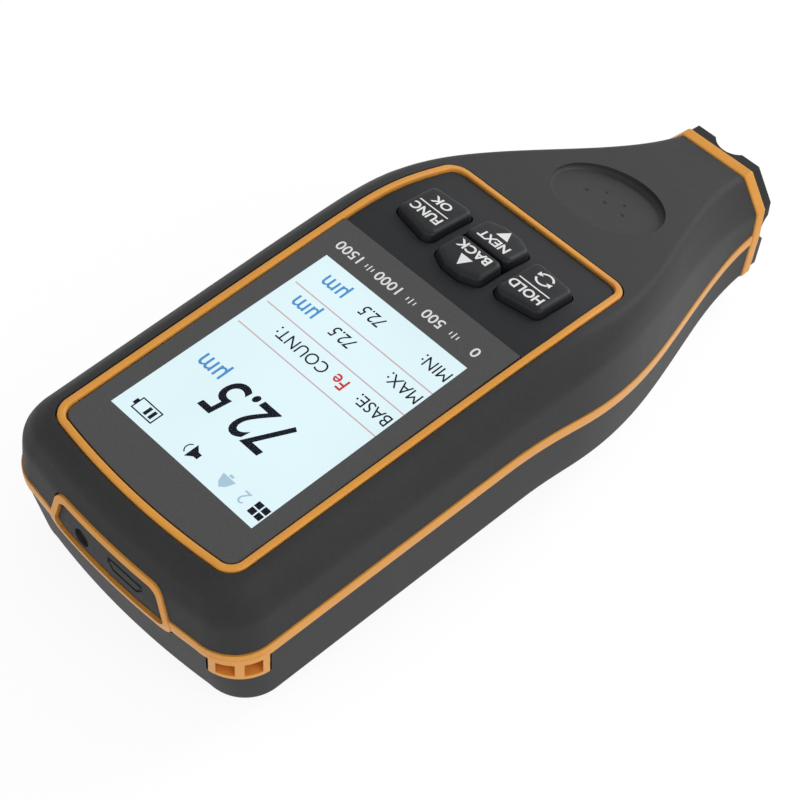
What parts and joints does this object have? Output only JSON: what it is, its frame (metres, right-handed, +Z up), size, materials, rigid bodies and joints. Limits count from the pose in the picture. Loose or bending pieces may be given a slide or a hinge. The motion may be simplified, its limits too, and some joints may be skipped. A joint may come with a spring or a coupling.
{
  "type": "coating thickness gauge",
  "caption": "Hand-held coating thickness gauge with a colour display, keypad, thumb dish, sprung probe in a drooped nose and a plugged charging port.",
  "frame": {"origin": "centre of the bounding box's underside, on the surface the gauge lies on", "axes": "+Z up; +Y along the gauge from its foot to its probe nose; +X to the side with the record key"},
  "size_m": [0.0616, 0.1664, 0.0454],
  "materials": {
    "orange_abs": "satin moulded",
    "black_elastomer": "matt, fine grain",
    "black_abs": "fine grain",
    "lens_acrylic": "gloss, printed grey behind",
    "key_rubber": "satin",
    "foam": "matt foam",
    "display_glass": "lit panel",
    "tinned_steel": "satin",
    "board_laminate": "solder mask",
    "switch_body": "moulded",
    "battery_foil": "laminated foil",
    "probe_brass": "turned",
    "hard_steel": "ground",
    "coil_copper": "wound enamelled wire"
  },
  "bodies": {
    "housing": {"battery_pack": "battery_foil", "battery_pad": "foam", "board_screw_1": "hard_steel", "board_screw_2": "hard_steel", "board_screw_3": "hard_steel", "board_screw_4": "hard_steel", "buzzer": "switch_body", "case_screw_1": "hard_steel", "case_screw_2": "hard_steel", "case_screw_3": "hard_steel", "case_screw_4": "hard_steel", "charging_socket": "tinned_steel", "front_overmould": "black_elastomer", "front_shell": "orange_abs", "keypad_mat": "key_rubber", "lcd_frame": "tinned_steel", "lcd_panel": "display_glass", "lens_gasket": "foam", "main_board": "board_laminate", "nose_cap": "black_abs", "nose_collar": "orange_abs", "probe_guide": "black_abs", "probe_lead": "switch_body", "probe_spring": "hard_steel", "rear_overmould": "black_elastomer", "rear_shell": "orange_abs", "screen_lens": "lens_acrylic", "switch_down": "switch_body", "switch_menu": "switch_body", "switch_record": "switch_body", "switch_up": "switch_body"},
    "key_menu": {"key_menu": "key_rubber"},
    "key_down": {"key_down": "key_rubber"},
    "key_up": {"key_up": "key_rubber"},
    "key_record": {"key_record": "key_rubber"},
    "port_plug": {"port_plug": "black_elastomer"},
    "probe": {"probe_sleeve": "probe_brass", "probe_coil": "coil_copper", "probe_tip": "hard_steel"}
  },
  "joints": [
    {"name": "key_menu_press", "type": "slide", "parent": "housing", "child": "key_menu", "axis": [0, -0.0281, -0.9996], "range_m": [0, 0.0007], "stiffness_N_per_m": 1500},
    {"name": "key_down_press", "type": "slide", "parent": "housing", "child": "key_down", "axis": [0, -0.0281, -0.9996], "range_m": [0, 0.0007], "stiffness_N_per_m": 1500},
    {"name": "key_up_press", "type": "slide", "parent": "housing", "child": "key_up", "axis": [0, -0.0281, -0.9996], "range_m": [0, 0.0007], "stiffness_N_per_m": 1500},
    {"name": "key_record_press", "type": "slide", "parent": "housing", "child": "key_record", "axis": [0, -0.0281, -0.9996], "range_m": [0, 0.0007], "stiffness_N_per_m": 1500},
    {"name": "probe_press", "type": "slide", "parent": "housing", "child": "probe", "axis": [0, -0.9912, -0.1323], "range_m": [0, 0.0025], "stiffness_N_per_m": 800},
    {"name": "port_plug_hinge", "type": "hinge", "parent": "housing", "child": "port_plug", "pos_m": [0.0143, -0.0823, 0.02151], "axis": [0, -0.1323, 0.9912], "range_deg": [0, 95]}
  ]
}
